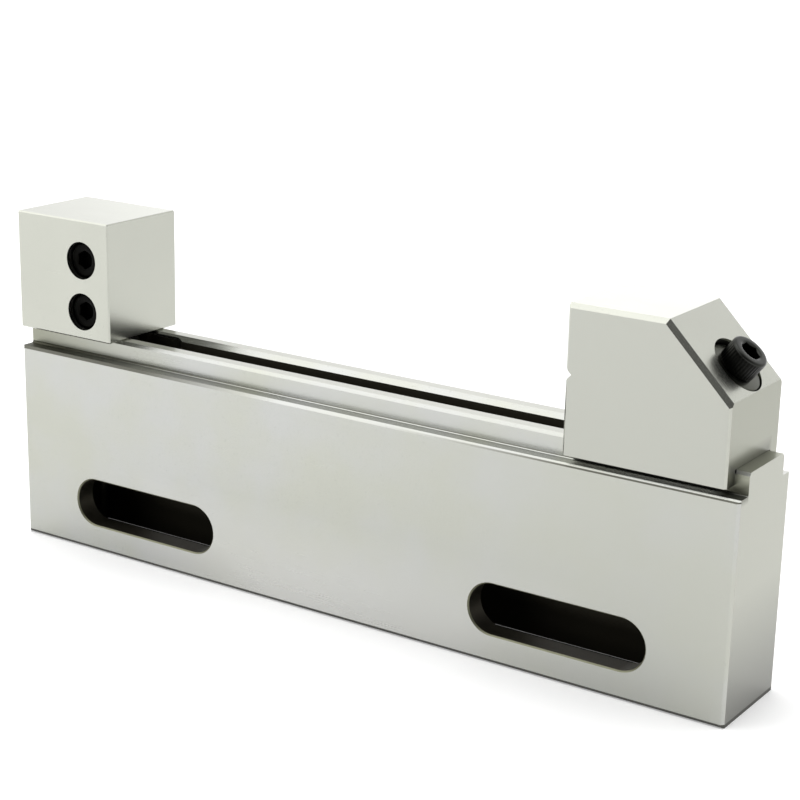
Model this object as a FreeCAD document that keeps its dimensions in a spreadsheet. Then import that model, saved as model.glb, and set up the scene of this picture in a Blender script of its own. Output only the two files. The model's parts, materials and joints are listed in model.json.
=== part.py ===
import FreeCAD, Part
import Sketcher
import math
import os

# Wire EDM vise, 0 to 150 mm. Millimetres, +Z up.
# The origin is on the surface that the vise stands on, below the middle of its body.
# +X runs along the body from the fixed jaw to the movable jaw, +Y to the back.

os.makedirs("parts", exist_ok=True)
doc = FreeCAD.newDocument("edm_vise")

# Driving dimensions: alias, value, what it is.
SIZES = [
    ("body_length", 234.0, "length of the body"),
    ("body_width", 29.7, "width of the body and of both jaws"),
    ("body_height", 59.2, "height of the ledges beside the rail"),
    ("side_wall", 6.3, "thickness of the body's side walls"),
    ("end_wall", 10.0, "thickness of the walls that close the channel"),
    ("web_thickness", 10.0, "rail top to the underside of the web"),
    ("rail_width", 20.4, "width of the guide rail"),
    ("rail_height", 5.9, "height of the rail above the ledges"),
    ("rail_bevel", 0.9, "chamfer on the rail's top edges"),
    ("foot_bevel", 0.4, "small slope left at the rail's foot"),
    ("edge_bevel", 0.8, "chamfer on the body's outer edges"),
    ("channel_corner", 2.0, "corner radius of the channel in plan"),
    ("slot_width", 9.4, "slot through the rail"),
    ("slot_bevel", 1.4, "chamfer on the slot's top edges"),
    ("slot_end_play", 5.0, "slot's right end beyond the clamp screw at rest"),
    ("entry_width", 11.0, "width of the pocket that lets the pull bar in"),
    ("entry_length", 19.0, "length of that pocket"),
    ("bolt_slot_width", 5.5, "slots in the back wall, clearance for M5"),
    ("access_slot_width", 14.2, "slots in the front wall, which let a screw's head in"),
    ("side_slot_travel", 37.7, "all side slots, centre to centre of their round ends"),
    ("left_slot_inset", 47.0, "left side slots, middle from the body's left end"),
    ("right_slot_inset", 48.4, "right side slots, middle from the body's right end"),
    ("side_slot_height", 15.0, "side slots, middle above the base"),
    ("side_slot_bevel", 0.4, "chamfer on the side slots' rims"),
    ("open_inset", 3.3, "movable jaw from the body's end when open, at the least"),
    ("notch_pitch", 15.0, "distance between notches"),
    ("notch_radius", 5.2, "half-round notches under the web"),
    ("notch_drop", 2.0, "centre of a notch below the web"),
    ("closing_gap", 0.2, "gap left between the jaws when closed"),
    ("jaw_height", 35.1, "both jaws above the rail"),
    ("fixed_jaw_length", 35.2, "length of the fixed jaw"),
    ("fixed_jaw_bevel", 0.4, "chamfer on the fixed jaw's edges"),
    ("jaw_screw_inset", 24.8, "cap screws from the body's left end"),
    ("jaw_screw_low", 8.1, "lower cap screw above the rail"),
    ("jaw_screw_pitch", 15.2, "cap screws, centre to centre"),
    ("counterbore_width", 11.0, "counterbores for the cap screws"),
    ("counterbore_depth", 7.5, "depth of the counterbores"),
    ("thread_width", 6.0, "nominal thread of all the screws"),
    ("thread_play", 0.1, "thread fit, measured on the diameter"),
    ("screw_hole", 6.6, "clearance hole for a screw"),
    ("head_width", 10.0, "cap screw head"),
    ("head_height", 6.0, "cap screw head"),
    ("head_round", 0.7, "rounding of the head's rim"),
    ("socket_across", 5.0, "hexagon socket across flats"),
    ("socket_depth", 3.2, "hexagon socket depth"),
    ("tip_bevel", 0.8, "chamfer on a screw's tip"),
    ("clamp_screw_length", 60.0, "clamp screw under the head"),
    ("anchor_setback", 5.6, "anchor's end behind the fixed jaw's face"),
    ("anchor_length", 13.5, "anchor along the slot"),
    ("anchor_foot_height", 10.0, "anchor's foot under the web"),
    ("anchor_rise", 30.0, "anchor's stem above the rail"),
    ("anchor_foot_bevel", 4.0, "chamfer on the foot that clears the clamp screw's tip"),
    ("anchor_play", 0.1, "anchor to slot and jaw, each side"),
    ("anchor_head_play", 0.5, "anchor's stem to the top of its slot"),
    ("channel_play", 0.2, "anchor's foot and pull bar to the channel, each side"),
    ("movable_jaw_length", 44.7, "length of the movable jaw"),
    ("top_flat", 26.9, "flat top in front of the slope"),
    ("slope_angle", 45.0, "slope below horizontal"),
    ("skirt_gap", 2.1, "skirts above the ledges"),
    ("slide_play", 0.05, "movable jaw to the rail"),
    ("jaw_bevel", 1.2, "chamfer along the top and the slope"),
    ("jaw_corner_bevel", 0.6, "chamfer on the movable jaw's upright edges"),
    ("groove_height", 17.1, "V groove's middle above the rail"),
    ("groove_depth", 1.6, "depth of the V groove, square across"),
    ("seat_along", 17.2, "recess from the ridge, down the slope"),
    ("hang_tilt", 6.6, "screw at rest, steeper than square to the slope"),
    ("washer_radius", 7.5, "ball radius of the washer"),
    ("washer_thickness", 4.5, "thickness of the washer"),
    ("seat_play", 0.1, "washer to its ball seat"),
    ("mouth_play", 0.3, "washer to the mouth of its recess"),
    ("head_play", 0.03, "clamp screw's head to the washer"),
    ("passage_width", 7.0, "passage for the screw, across the jaw"),
    ("passage_play", 0.6, "screw to the ends of that passage"),
    ("bar_width", 10.0, "pull bar"),
    ("bar_bevel", 0.5, "chamfer on the pull bar's ends"),
    ("bar_travel", 5.0, "pull bar along the screw, loose to tight"),
]

sheet = doc.addObject("Spreadsheet::Sheet", "sizes")
for row, (alias, amount, meaning) in enumerate(SIZES, start=1):
    sheet.set(f"A{row}", meaning)
    sheet.set(f"B{row}", str(amount))
    sheet.setAlias(f"B{row}", alias)
doc.recompute()

# Places worked out from the driving dimensions, as expressions on the sheet.
BODY_END = "(sizes.body_length / 2)"
HALF_WIDTH = "(sizes.body_width / 2)"
CHANNEL_WIDTH = "(sizes.body_width - 2 * sizes.side_wall)"
CHANNEL_END = f"({BODY_END} - sizes.end_wall)"
RAIL_TOP = "(sizes.body_height + sizes.rail_height)"
WEB_UNDER = f"({RAIL_TOP} - sizes.web_thickness)"
JAW_TOP = f"({RAIL_TOP} + sizes.jaw_height)"
FIXED_FACE = f"(sizes.fixed_jaw_length - {BODY_END})"
FREE_LENGTH = ("(sizes.body_length - sizes.fixed_jaw_length - sizes.closing_gap"
               " - sizes.movable_jaw_length - sizes.open_inset)")
NOTCH_STEPS = f"floor({FREE_LENGTH} / sizes.notch_pitch)"
MOVING_FACE = f"({FIXED_FACE} + {NOTCH_STEPS} * sizes.notch_pitch + sizes.closing_gap)"
MOVING_END = f"({MOVING_FACE} + sizes.movable_jaw_length)"
RIDGE = f"({MOVING_FACE} + sizes.top_flat)"
SLOPE_FOOT = f"({JAW_TOP} - (sizes.movable_jaw_length - sizes.top_flat) * tan(sizes.slope_angle))"

# Pivot of the clamp screw: centre of the washer's top face. Its depth below the slope
# brings the washer's lower rim level with the slope when the screw hangs at rest.
SEAT_SINK = "(sizes.washer_radius * sin(sizes.hang_tilt))"
PIVOT_X = (f"({RIDGE} + sizes.seat_along * cos(sizes.slope_angle)"
           f" - {SEAT_SINK} * sin(sizes.slope_angle))")
PIVOT_Z = (f"({JAW_TOP} - sizes.seat_along * sin(sizes.slope_angle)"
           f" - {SEAT_SINK} * cos(sizes.slope_angle))")
REST_ANGLE = "(sizes.slope_angle - sizes.hang_tilt)"

# Clamped, the screw is square to the slope and the bar lies in a notch.
NOTCH_Z = f"({WEB_UNDER} - sizes.notch_drop)"
NOTCH_X = f"({PIVOT_X} - ({PIVOT_Z} - {NOTCH_Z}) * tan(sizes.slope_angle))"
CLAMPED_REACH = f"(({PIVOT_Z} - {NOTCH_Z}) / cos(sizes.slope_angle))"
REST_REACH = f"({CLAMPED_REACH} + sizes.bar_travel)"

# The slot reaches past the clamp screw where that crosses the rail's top, hanging at rest.
SLOT_END = (f"({PIVOT_X} - ({PIVOT_Z} - {RAIL_TOP}) * tan({REST_ANGLE})"
            f" + sizes.thread_width / 2 / cos({REST_ANGLE}) + sizes.slot_end_play)")
LEFT_SLOT_X = f"(sizes.left_slot_inset - {BODY_END})"
RIGHT_SLOT_X = f"({BODY_END} - sizes.right_slot_inset)"

ANCHOR_RIGHT = f"({FIXED_FACE} - sizes.anchor_setback)"
ANCHOR_LEFT = f"({ANCHOR_RIGHT} - sizes.anchor_length)"
JAW_SCREW_X = f"(sizes.jaw_screw_inset - {BODY_END})"
JAW_SCREW_LOW = f"({RAIL_TOP} + sizes.jaw_screw_low)"
JAW_SCREW_HIGH = f"({JAW_SCREW_LOW} + sizes.jaw_screw_pitch)"

# The jaw's cap screws end level with the anchor's far side.
JAW_SCREW_LENGTH = (f"({HALF_WIDTH} - sizes.counterbore_depth"
                    " + sizes.slot_width / 2 - sizes.anchor_play)")


def value(expression):
    """Number that an expression on the sheet gives now."""
    result = sheet.evalExpression(expression)
    return float(getattr(result, "Value", result))


def new_body(label):
    body = doc.addObject("PartDesign::Body", label)
    body.Label = label
    return body


def new_sketch(body, name, plane):
    """Sketch on one of the body's own origin planes."""
    sketch = body.newObject("Sketcher::SketchObject", name)
    origin = [item for item in body.Origin.OriginFeatures if item.Role == plane][0]
    sketch.AttachmentSupport = [(origin, "")]
    sketch.MapMode = "FlatFace"
    return sketch


def pin_point(sketch, geometry, vertex, across, up):
    """Hold a point of the sketch at two expressions measured from its origin."""
    for kind, expression in (("DistanceX", across), ("DistanceY", up)):
        index = sketch.addConstraint(
            Sketcher.Constraint(kind, geometry, vertex, value(expression)))
        sketch.setExpression(f"Constraints[{index}]", expression)


def draw_outline(sketch, corners):
    """Closed outline of straight edges through corners given as expressions."""
    points = [FreeCAD.Vector(value(across), value(up), 0) for across, up in corners]
    first = sketch.GeometryCount
    for start, end in zip(points, points[1:] + points[:1]):
        sketch.addGeometry(Part.LineSegment(start, end))
    count = len(points)
    for step in range(count):
        sketch.addConstraint(Sketcher.Constraint(
            "Coincident", first + step, 2, first + (step + 1) % count, 1))
    for step, (across, up) in enumerate(corners):
        pin_point(sketch, first + step, 1, across, up)


def draw_box(sketch, left, right, low, high):
    draw_outline(sketch, [(left, low), (right, low), (right, high), (left, high)])


def draw_circle(sketch, across, up, radius):
    centre = FreeCAD.Vector(value(across), value(up), 0)
    circle = sketch.addGeometry(
        Part.Circle(centre, FreeCAD.Vector(0, 0, 1), value(radius)))
    pin_point(sketch, circle, 3, across, up)
    index = sketch.addConstraint(Sketcher.Constraint("Radius", circle, value(radius)))
    sketch.setExpression(f"Constraints[{index}]", radius)


def draw_obround(sketch, left, right, middle, width):
    """Slot outline with round ends, from its left end to its right end."""
    radius = f"({width} / 2)"
    size = value(radius)
    ends = [f"({left} + {radius})", f"({right} - {radius})"]
    centres = [FreeCAD.Vector(value(end), value(middle), 0) for end in ends]
    rise = FreeCAD.Vector(0, size, 0)
    upward = FreeCAD.Vector(0, 0, 1)
    quarter = math.pi / 2
    low_arc = Part.ArcOfCircle(Part.Circle(centres[0], upward, size), quarter, 3 * quarter)
    high_arc = Part.ArcOfCircle(Part.Circle(centres[1], upward, size), 3 * quarter, 5 * quarter)
    left_arc = sketch.addGeometry(low_arc)
    right_arc = sketch.addGeometry(high_arc)
    under = sketch.addGeometry(Part.LineSegment(centres[0] - rise, centres[1] - rise))
    over = sketch.addGeometry(Part.LineSegment(centres[1] + rise, centres[0] + rise))
    for one, one_end, other, other_end in (
            (left_arc, 2, under, 1), (under, 2, right_arc, 1),
            (right_arc, 2, over, 1), (over, 2, left_arc, 1)):
        sketch.addConstraint(
            Sketcher.Constraint("Tangent", one, one_end, other, other_end))
    for arc, end in ((left_arc, ends[0]), (right_arc, ends[1])):
        pin_point(sketch, arc, 3, end, middle)
        index = sketch.addConstraint(Sketcher.Constraint("Radius", arc, size))
        sketch.setExpression(f"Constraints[{index}]", radius)


def add_feature(body, kind, name, sketch, length=None, symmetric=False, reverse=False):
    """Pad or pocket of a sketch. A length of None cuts through everything."""
    feature = body.newObject(f"PartDesign::{kind}", name)
    feature.Profile = sketch
    if length is None:
        feature.Type = "ThroughAll"
    else:
        feature.setExpression("Length", length)
    if symmetric:
        feature.SideType = "Symmetric"
    feature.Reversed = reverse
    sketch.Visibility = False
    doc.recompute()
    return feature


def break_edges(body, name, kind, base, chosen, size):
    """Chamfer or fillet on the edges of the base feature that the test picks."""
    doc.recompute()
    edges = [f"Edge{number}" for number, edge in enumerate(base.Shape.Edges, start=1)
             if chosen(edge)]
    feature = body.newObject(f"PartDesign::{kind}", name)
    feature.Base = (base, edges)
    feature.setExpression("Size" if kind == "Chamfer" else "Radius", size)
    doc.recompute()
    return feature


def is_line_along(edge, axis):
    """Whether an edge is straight and runs along an axis: 0 for X, 1 for Y, 2 for Z."""
    if edge.Curve.TypeId != "Part::GeomLine":
        return False
    return abs(abs(edge.Curve.Direction[axis]) - 1) < 1e-6


def near(number, expression):
    return abs(number - value(expression)) < 1e-4


def place(body, across, along, up, axis, angle):
    """Put a body at a point, turned about an axis through it."""
    body.Placement = FreeCAD.Placement(
        FreeCAD.Vector(value(across), value(along), value(up)),
        FreeCAD.Rotation(axis, value(angle)))
    body.setExpression("Placement.Base.x", across)
    body.setExpression("Placement.Base.y", along)
    body.setExpression("Placement.Base.z", up)
    body.setExpression("Placement.Rotation.Angle", angle)


def make_body():
    """Block with the guide rail, open below, closed at both ends."""
    body = new_body("body")
    side = HALF_WIDTH
    rail = "sizes.rail_width / 2"
    half = [
        (f"{side} - sizes.edge_bevel", "0"),
        (side, "sizes.edge_bevel"),
        (side, "sizes.body_height - sizes.edge_bevel"),
        (f"{side} - sizes.edge_bevel", "sizes.body_height"),
        (f"{rail} + sizes.foot_bevel", "sizes.body_height"),
        (rail, "sizes.body_height + sizes.foot_bevel"),
        (rail, f"{RAIL_TOP} - sizes.rail_bevel"),
        (f"{rail} - sizes.rail_bevel", RAIL_TOP),
    ]
    other_half = [(f"-({across})", up) for across, up in reversed(half)]
    section = new_sketch(body, "body_section", "YZ_Plane")
    draw_outline(section, half + other_half)
    block = add_feature(body, "Pad", "body_block", section, "sizes.body_length", symmetric=True)

    break_edges(
        body, "body_end_bevel", "Chamfer", block,
        lambda edge: is_line_along(edge, 2) and near(abs(edge.CenterOfMass.y), side),
        "sizes.edge_bevel")

    channel = new_sketch(body, "channel_plan", "XY_Plane")
    draw_box(channel, f"-{CHANNEL_END}", CHANNEL_END,
             f"-{CHANNEL_WIDTH} / 2", f"{CHANNEL_WIDTH} / 2")
    hollow = add_feature(body, "Pocket", "channel", channel, WEB_UNDER, reverse=True)
    break_edges(
        body, "channel_corners", "Fillet", hollow,
        lambda edge: is_line_along(edge, 2) and near(abs(edge.CenterOfMass.x), CHANNEL_END),
        "sizes.channel_corner")

    slot = new_sketch(body, "slot_plan", "XY_Plane")
    draw_obround(slot, f"-{CHANNEL_END}", SLOT_END, "0", "sizes.slot_width")
    cut = add_feature(body, "Pocket", "slot", slot, None, reverse=True)
    break_edges(
        body, "slot_bevel", "Chamfer", cut,
        lambda edge: near(edge.BoundBox.ZMin, RAIL_TOP) and within_slot(edge),
        "sizes.slot_bevel")

    entry = new_sketch(body, "entry_plan", "XY_Plane")
    draw_obround(entry, ANCHOR_RIGHT, f"{ANCHOR_RIGHT} + sizes.entry_length", "0",
                 "sizes.entry_width")
    add_feature(body, "Pocket", "entry_pocket", entry, None, reverse=True)

    for name, width, to_front in (("access_slots", "sizes.access_slot_width", True),
                                  ("bolt_slots", "sizes.bolt_slot_width", False)):
        outlines = new_sketch(body, f"{name}_front", "XZ_Plane")
        reach = f"(sizes.side_slot_travel + {width}) / 2"
        for middle in (LEFT_SLOT_X, RIGHT_SLOT_X):
            draw_obround(outlines, f"{middle} - {reach}", f"{middle} + {reach}",
                         "sizes.side_slot_height", width)
        slots = add_feature(body, "Pocket", name, outlines, HALF_WIDTH, reverse=to_front)
    break_edges(
        body, "side_slot_rims", "Chamfer", slots,
        lambda edge: near(abs(edge.BoundBox.YMin), side) and near(edge.BoundBox.YLength, "0")
        and on_side_slot(edge),
        "sizes.side_slot_bevel")

    tooth_gap = new_sketch(body, "notch_outline", "XZ_Plane")
    draw_circle(tooth_gap, NOTCH_X, NOTCH_Z, "sizes.notch_radius")
    notch = add_feature(body, "Pocket", "notch", tooth_gap, CHANNEL_WIDTH, symmetric=True)
    row = body.newObject("PartDesign::LinearPattern", "notch_row")
    row.Originals = [notch]
    row.Direction = (tooth_gap, ["H_Axis"])
    row.Reversed = True
    row.setExpression("Length", f"{NOTCH_STEPS} * sizes.notch_pitch")
    row.setExpression("Occurrences", f"{NOTCH_STEPS} + 1")
    body.Tip = row
    doc.recompute()
    return body


def within_slot(edge):
    reach = value("sizes.slot_width / 2") + 1e-4
    return max(abs(edge.BoundBox.YMin), abs(edge.BoundBox.YMax)) < reach


def on_side_slot(edge):
    box = edge.BoundBox
    low = value("sizes.side_slot_height - sizes.access_slot_width / 2") - 1e-4
    high = value("sizes.side_slot_height + sizes.access_slot_width / 2") + 1e-4
    return box.ZMin > low and box.ZMax < high


def make_fixed_jaw():
    """Square block with a slot below for the anchor and two counterbored holes."""
    body = new_body("fixed_jaw")
    front = new_sketch(body, "jaw_front", "XZ_Plane")
    draw_box(front, f"-{BODY_END}", FIXED_FACE, RAIL_TOP, JAW_TOP)
    block = add_feature(body, "Pad", "jaw_block", front, "sizes.body_width", symmetric=True)
    break_edges(body, "jaw_edges", "Chamfer", block, lambda edge: True, "sizes.fixed_jaw_bevel")

    stem = new_sketch(body, "stem_slot_front", "XZ_Plane")
    draw_box(stem, f"{ANCHOR_LEFT} - sizes.anchor_play", f"{ANCHOR_RIGHT} + sizes.anchor_play",
             f"{RAIL_TOP} - sizes.anchor_play",
             f"{RAIL_TOP} + sizes.anchor_rise + sizes.anchor_head_play")
    add_feature(body, "Pocket", "stem_slot", stem, "sizes.slot_width", symmetric=True)

    heights = (JAW_SCREW_LOW, JAW_SCREW_HIGH)
    seats = new_sketch(body, "counterbore_circles", "XZ_Plane")
    seats.AttachmentOffset = FreeCAD.Placement(
        FreeCAD.Vector(0, 0, value(HALF_WIDTH)), FreeCAD.Rotation())
    seats.setExpression("AttachmentOffset.Base.z", HALF_WIDTH)
    for height in heights:
        draw_circle(seats, JAW_SCREW_X, height, "sizes.counterbore_width / 2")
    add_feature(body, "Pocket", "counterbores", seats, "sizes.counterbore_depth")

    holes = new_sketch(body, "screw_hole_circles", "XZ_Plane")
    for height in heights:
        draw_circle(holes, JAW_SCREW_X, height, "sizes.screw_hole / 2")
    add_feature(body, "Pocket", "screw_holes", holes, HALF_WIDTH, reverse=True)
    return body


def make_jaw_anchor():
    """T-shaped block: foot under the rail, stem up into the fixed jaw, tapped for two screws."""
    body = new_body("jaw_anchor")
    foot = f"({CHANNEL_WIDTH} / 2 - sizes.channel_play)"
    stem = "(sizes.slot_width / 2 - sizes.anchor_play)"
    foot_low = f"{WEB_UNDER} - sizes.anchor_foot_height"
    half = [
        (foot, foot_low),
        (foot, WEB_UNDER),
        (stem, WEB_UNDER),
        (stem, f"{RAIL_TOP} + sizes.anchor_rise"),
    ]
    other_half = [(f"-({across})", up) for across, up in reversed(half)]
    section = new_sketch(body, "anchor_section", "YZ_Plane")
    section.AttachmentOffset = FreeCAD.Placement(
        FreeCAD.Vector(0, 0, value(ANCHOR_LEFT)), FreeCAD.Rotation())
    section.setExpression("AttachmentOffset.Base.z", ANCHOR_LEFT)
    draw_outline(section, half + other_half)
    block = add_feature(body, "Pad", "anchor_block", section, "sizes.anchor_length")
    break_edges(
        body, "foot_bevel", "Chamfer", block,
        lambda edge: is_line_along(edge, 1) and near(edge.CenterOfMass.x, ANCHOR_RIGHT)
        and near(edge.CenterOfMass.z, foot_low),
        "sizes.anchor_foot_bevel")

    holes = new_sketch(body, "tapped_hole_circles", "XZ_Plane")
    for height in (JAW_SCREW_LOW, JAW_SCREW_HIGH):
        draw_circle(holes, JAW_SCREW_X, height, "sizes.thread_width / 2")
    add_feature(body, "Pocket", "tapped_holes", holes, "sizes.slot_width", symmetric=True)
    return body


def make_movable_jaw():
    """Block astride the rail with a sloping back, a ball seat and a passage for the screw."""
    body = new_body("movable_jaw")
    skirt_foot = "(sizes.body_height + sizes.skirt_gap)"
    groove = f"({RAIL_TOP} + sizes.groove_height)"
    front = new_sketch(body, "jaw_front", "XZ_Plane")
    draw_outline(front, [
        (MOVING_FACE, skirt_foot),
        (MOVING_END, skirt_foot),
        (MOVING_END, SLOPE_FOOT),
        (RIDGE, JAW_TOP),
        (MOVING_FACE, JAW_TOP),
    ])
    block = add_feature(body, "Pad", "jaw_block", front, "sizes.body_width", symmetric=True)
    top = break_edges(
        body, "top_and_slope_bevel", "Chamfer", block,
        lambda edge: near(abs(edge.CenterOfMass.y), HALF_WIDTH)
        and near(edge.BoundBox.YLength, "0") and edge.BoundBox.ZMin > value(SLOPE_FOOT) - 1e-4
        and edge.BoundBox.XLength > 1,
        "sizes.jaw_bevel")
    break_edges(
        body, "upright_bevel", "Chamfer", top,
        lambda edge: is_line_along(edge, 2) and near(abs(edge.CenterOfMass.y), HALF_WIDTH),
        "sizes.jaw_corner_bevel")

    guide = new_sketch(body, "guide_section", "YZ_Plane")
    reach = "(sizes.rail_width / 2 + sizes.slide_play)"
    draw_box(guide, f"-{reach}", reach, "0", f"{RAIL_TOP} + sizes.slide_play")
    add_feature(body, "Pocket", "guide", guide, None, symmetric=True)

    vee = new_sketch(body, "v_groove_front", "XZ_Plane")
    draw_outline(vee, [
        (f"{MOVING_FACE} - sizes.groove_depth", f"{groove} - 2 * sizes.groove_depth"),
        (f"{MOVING_FACE} + sizes.groove_depth", groove),
        (f"{MOVING_FACE} - sizes.groove_depth", f"{groove} + 2 * sizes.groove_depth"),
    ])
    add_feature(body, "Pocket", "v_groove", vee, "sizes.body_width", symmetric=True)

    seat = new_sketch(body, "seat_half_section", "XZ_Plane")
    draw_seat(seat)
    cavity = body.newObject("PartDesign::Groove", "seat")
    cavity.Profile = seat
    cavity.ReferenceAxis = (seat, ["Axis0"])
    cavity.Angle = 360
    doc.recompute()

    passage = new_sketch(body, "passage_front", "XZ_Plane")
    draw_passage(passage)
    add_feature(body, "Pocket", "passage", passage, "sizes.passage_width", symmetric=True)
    return body


def slope_point(along, out):
    """Place on the XZ plane, measured from the pivot down the slope and square out of it."""
    return (f"{PIVOT_X} + ({along}) * cos(sizes.slope_angle) + ({out}) * sin(sizes.slope_angle)",
            f"{PIVOT_Z} - ({along}) * sin(sizes.slope_angle) + ({out}) * cos(sizes.slope_angle)")


def draw_seat(sketch):
    """Half section of the recess: a ball seat below the pivot, a round mouth above it."""
    ball = "(sizes.washer_radius + sizes.seat_play)"
    mouth = "(sizes.washer_radius + sizes.mouth_play)"
    top = f"({SEAT_SINK} + sizes.head_width)"
    ends = {
        "bottom": slope_point("0", f"-{ball}"),
        "top": slope_point("0", top),
        "mouth_top": slope_point(mouth, top),
        "mouth_foot": slope_point(mouth, "0"),
        "ball_edge": slope_point(ball, "0"),
    }
    spots = {name: FreeCAD.Vector(value(across), value(up), 0)
             for name, (across, up) in ends.items()}
    turn = math.radians(value("sizes.slope_angle"))
    centre = FreeCAD.Vector(value(PIVOT_X), value(PIVOT_Z), 0)
    circle = Part.Circle(centre, FreeCAD.Vector(0, 0, 1), value(ball))
    quarter = math.pi / 2
    arc = sketch.addGeometry(Part.ArcOfCircle(circle, -turn - quarter, -turn))
    pin_point(sketch, arc, 3, PIVOT_X, PIVOT_Z)
    order = ["ball_edge", "mouth_foot", "mouth_top", "top", "bottom"]
    lines = [sketch.addGeometry(Part.LineSegment(spots[start], spots[end]))
             for start, end in zip(order, order[1:])]
    sketch.addConstraint(Sketcher.Constraint("Coincident", arc, 2, lines[0], 1))
    for one, other in zip(lines, lines[1:]):
        sketch.addConstraint(Sketcher.Constraint("Coincident", one, 2, other, 1))
    sketch.addConstraint(Sketcher.Constraint("Coincident", lines[-1], 2, arc, 1))
    for line, name in zip(lines, order):
        pin_point(sketch, line, 1, *ends[name])
    index = sketch.addConstraint(
        Sketcher.Constraint("DistanceY", lines[-1], 2, value(ends["bottom"][1])))
    sketch.setExpression(f"Constraints[{index}]", ends["bottom"][1])
    sketch.addGeometry(Part.LineSegment(spots["bottom"], spots["top"]), True)
    axis = sketch.GeometryCount - 1
    sketch.addConstraint(Sketcher.Constraint("Coincident", axis, 1, lines[-1], 2))
    sketch.addConstraint(Sketcher.Constraint("Coincident", axis, 2, lines[-1], 1))


def draw_passage(sketch):
    """Wedge from the pivot to the rail that clears the screw at both ends of its tilt."""
    reach = f"({PIVOT_Z} - sizes.body_height)"
    half = "(sizes.thread_width / 2 + sizes.passage_play)"
    steep = REST_ANGLE
    flat = "sizes.slope_angle"
    draw_outline(sketch, [
        (f"{PIVOT_X} - {half} * cos({flat})", f"{PIVOT_Z} + {half} * sin({flat})"),
        (f"{PIVOT_X} - {half} / cos({flat}) - {reach} * tan({flat})", f"{PIVOT_Z} - {reach}"),
        (f"{PIVOT_X} + {half} / cos({steep}) - {reach} * tan({steep})", f"{PIVOT_Z} - {reach}"),
        (f"{PIVOT_X} + {half} * cos({steep})", f"{PIVOT_Z} - {half} * sin({steep})"),
    ])


def make_cap_screw(label, length):
    """Socket head cap screw: origin below the head, shank along -Z."""
    body = new_body(label)
    head = "(sizes.head_width / 2)"
    shank = "((sizes.thread_width - sizes.thread_play) / 2)"
    half = new_sketch(body, "screw_half_section", "XZ_Plane")
    draw_outline(half, [
        ("0", f"-{length}"),
        (f"{shank} - sizes.tip_bevel", f"-{length}"),
        (shank, f"sizes.tip_bevel - {length}"),
        (shank, "0"),
        (head, "0"),
        (head, "sizes.head_height"),
        ("0", "sizes.head_height"),
    ])
    turned = body.newObject("PartDesign::Revolution", "screw_turned")
    turned.Profile = half
    turned.ReferenceAxis = (half, ["V_Axis"])
    turned.Angle = 360
    doc.recompute()
    break_edges(
        body, "head_rim", "Fillet", turned,
        lambda edge: near(edge.BoundBox.ZMin, "sizes.head_height")
        and edge.Curve.TypeId == "Part::GeomCircle",
        "sizes.head_round")
    socket = new_sketch(body, "socket_hexagon", "XY_Plane")
    socket.AttachmentOffset = FreeCAD.Placement(
        FreeCAD.Vector(0, 0, value("sizes.head_height")), FreeCAD.Rotation())
    socket.setExpression("AttachmentOffset.Base.z", "sizes.head_height")
    corner = "(sizes.socket_across / 2 / cos(30))"
    draw_outline(socket, [
        (f"{corner} * cos({60 * side})", f"{corner} * sin({60 * side})") for side in range(6)])
    add_feature(body, "Pocket", "socket", socket, "sizes.socket_depth")
    return body


def make_ball_washer():
    """Washer with a ball-shaped underside: origin in the middle of its flat top."""
    body = new_body("ball_washer")
    half = new_sketch(body, "washer_half_section", "XZ_Plane")
    radius = "sizes.washer_radius"
    depth = "sizes.washer_thickness"
    hole = "(sizes.screw_hole / 2)"
    foot = f"sqrt({radius} ^ 2 - {depth} ^ 2)"
    size = value(radius)
    corners = [(foot, f"-{depth}"), (hole, f"-{depth}"), (hole, "0"), (radius, "0")]
    spots = [FreeCAD.Vector(value(across), value(up), 0) for across, up in corners]
    lines = [half.addGeometry(Part.LineSegment(start, end))
             for start, end in zip(spots, spots[1:])]
    circle = Part.Circle(FreeCAD.Vector(0, 0, 0), FreeCAD.Vector(0, 0, 1), size)
    arc = half.addGeometry(Part.ArcOfCircle(
        circle, circle.parameter(spots[0]) - 2 * math.pi, 0))
    pin_point(half, arc, 3, "0", "0")
    for one, other in zip(lines, lines[1:]):
        half.addConstraint(Sketcher.Constraint("Coincident", one, 2, other, 1))
    half.addConstraint(Sketcher.Constraint("Coincident", lines[-1], 2, arc, 2))
    half.addConstraint(Sketcher.Constraint("Coincident", lines[0], 1, arc, 1))
    pin_point(half, lines[1], 1, *corners[1])
    pin_point(half, lines[1], 2, *corners[2])
    pin_point(half, lines[2], 2, *corners[3])
    index = half.addConstraint(
        Sketcher.Constraint("DistanceY", lines[0], 1, value(corners[0][1])))
    half.setExpression(f"Constraints[{index}]", corners[0][1])
    turned = body.newObject("PartDesign::Revolution", "washer_turned")
    turned.Profile = half
    turned.ReferenceAxis = (half, ["V_Axis"])
    turned.Angle = 360
    doc.recompute()
    return body


def make_pull_bar():
    """Round bar across the channel, tapped through; origin at the screw's pivot."""
    body = new_body("pull_bar")
    end = new_sketch(body, "bar_end", "XZ_Plane")
    draw_circle(end, "0", f"-{REST_REACH}", "sizes.bar_width / 2")
    bar = add_feature(body, "Pad", "bar", end,
                      f"{CHANNEL_WIDTH} - 2 * sizes.channel_play", symmetric=True)
    break_edges(
        body, "bar_ends", "Chamfer", bar,
        lambda edge: edge.Curve.TypeId == "Part::GeomCircle", "sizes.bar_bevel")
    hole = new_sketch(body, "tapped_hole_circle", "XY_Plane")
    draw_circle(hole, "0", "0", "sizes.thread_width / 2")
    add_feature(body, "Pocket", "tapped_hole", hole, None)
    return body


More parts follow.
